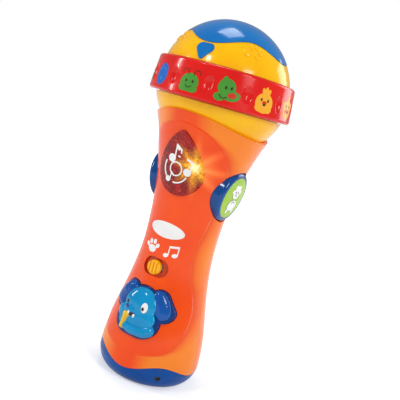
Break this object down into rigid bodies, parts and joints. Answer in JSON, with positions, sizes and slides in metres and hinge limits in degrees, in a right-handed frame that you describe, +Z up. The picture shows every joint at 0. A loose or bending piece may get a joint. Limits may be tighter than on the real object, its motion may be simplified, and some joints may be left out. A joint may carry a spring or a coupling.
{
  "type": "toy microphone",
  "caption": "Toddler's play microphone: waisted two-shell handle with press buttons, lit lens, slide selector and battery bay under a domed head with a turning picture ring.",
  "frame": {"origin": "centre of the flat base, where the toy stands", "axes": "+Z up the handle to the head; -Y is the front with the lens and the puppy button; +X is the right-hand side button"},
  "size_m": [0.0856, 0.0856, 0.2221],
  "materials": {
    "orange_plastic": "glossy moulded orange",
    "yellow_plastic": "glossy moulded yellow",
    "red_plastic": "glossy moulded red",
    "blue_plastic": "glossy moulded blue",
    "deep_blue_plastic": "glossy moulded deep blue",
    "sky_blue_plastic": "glossy moulded sky blue",
    "lime_plastic": "glossy lime with a printed picture",
    "amber_plastic": "glossy amber knob",
    "red_lens": "clear red tinted plastic",
    "lamp_lens": "clear lamp body",
    "white_plastic": "plain white moulding",
    "circuit_board": "green circuit board",
    "black_resin": "black resin",
    "speaker_black": "paper cone and pressed basket",
    "rubber": "grey silicone pad",
    "cell_sleeve": "printed cell sleeve",
    "steel": "plated steel",
    "brass": "sprung brass"
  },
  "bodies": {
    "handle": {"base_cap": "deep_blue_plastic", "base_screws": "steel", "batteries": "cell_sleeve", "battery_contacts": "steel", "battery_tray": "orange_plastic", "board_screws": "steel", "case_screws": "steel", "front_shell": "orange_plastic", "head_bowl": "yellow_plastic", "head_cap": "blue_plastic", "head_dome": "yellow_plastic", "head_drops": "blue_plastic", "head_screws": "steel", "led": "lamp_lens", "left_button_pad": "rubber", "left_switch_board": "circuit_board", "lens": "red_lens", "light_box": "white_plastic", "main_board": "circuit_board", "puppy_pad": "rubber", "rear_shell": "orange_plastic", "right_button_pad": "rubber", "right_switch_board": "circuit_board", "ring_click_spring": "brass", "ring_sensor_board": "circuit_board", "slide_switch": "steel", "sound_chip": "black_resin", "speaker": "speaker_black", "speaker_bracket": "white_plastic"},
    "roller": {"roller_ring": "red_plastic"},
    "mode_selector": {"mode_knob": "amber_plastic", "mode_slider": "white_plastic"},
    "puppy": {"puppy_button": "deep_blue_plastic", "puppy_face": "sky_blue_plastic", "puppy_ears": "deep_blue_plastic", "puppy_toy_mic": "yellow_plastic"},
    "right_key": {"right_button": "deep_blue_plastic", "right_button_disc": "lime_plastic"},
    "left_key": {"left_button": "deep_blue_plastic", "left_button_disc": "lime_plastic"},
    "door": {"battery_door": "orange_plastic"},
    "door_fixing": {"door_screw": "steel"}
  },
  "joints": [
    {"name": "ring_spin", "type": "hinge", "parent": "handle", "child": "roller", "pos_m": [0, 0, 0.18185], "axis": [0, 0, 1], "continuous": true},
    {"name": "mode_slide", "type": "slide", "parent": "handle", "child": "mode_selector", "axis": [1, 0, 0], "range_m": [-0.003, 0.003]},
    {"name": "puppy_press", "type": "slide", "parent": "handle", "child": "puppy", "axis": [0, 1, 0], "range_m": [0, 0.002], "stiffness_N_per_m": 400, "springref_m": -0.0012},
    {"name": "right_press", "type": "slide", "parent": "handle", "child": "right_key", "axis": [-0.9877, 0, 0.1564], "range_m": [0, 0.0016], "stiffness_N_per_m": 400, "springref_m": -0.0012},
    {"name": "left_press", "type": "slide", "parent": "handle", "child": "left_key", "axis": [0.9877, 0, 0.1564], "range_m": [0, 0.0016], "stiffness_N_per_m": 400, "springref_m": -0.0012},
    {"name": "door_lift", "type": "slide", "parent": "handle", "child": "door", "axis": [0, 1, 0], "range_m": [0, 0.03]},
    {"name": "door_screw_turn", "type": "hinge", "parent": "door", "child": "door_fixing", "pos_m": [0, 0.0206, 0.0838], "axis": [0, 1, 0], "continuous": true}
  ]
}
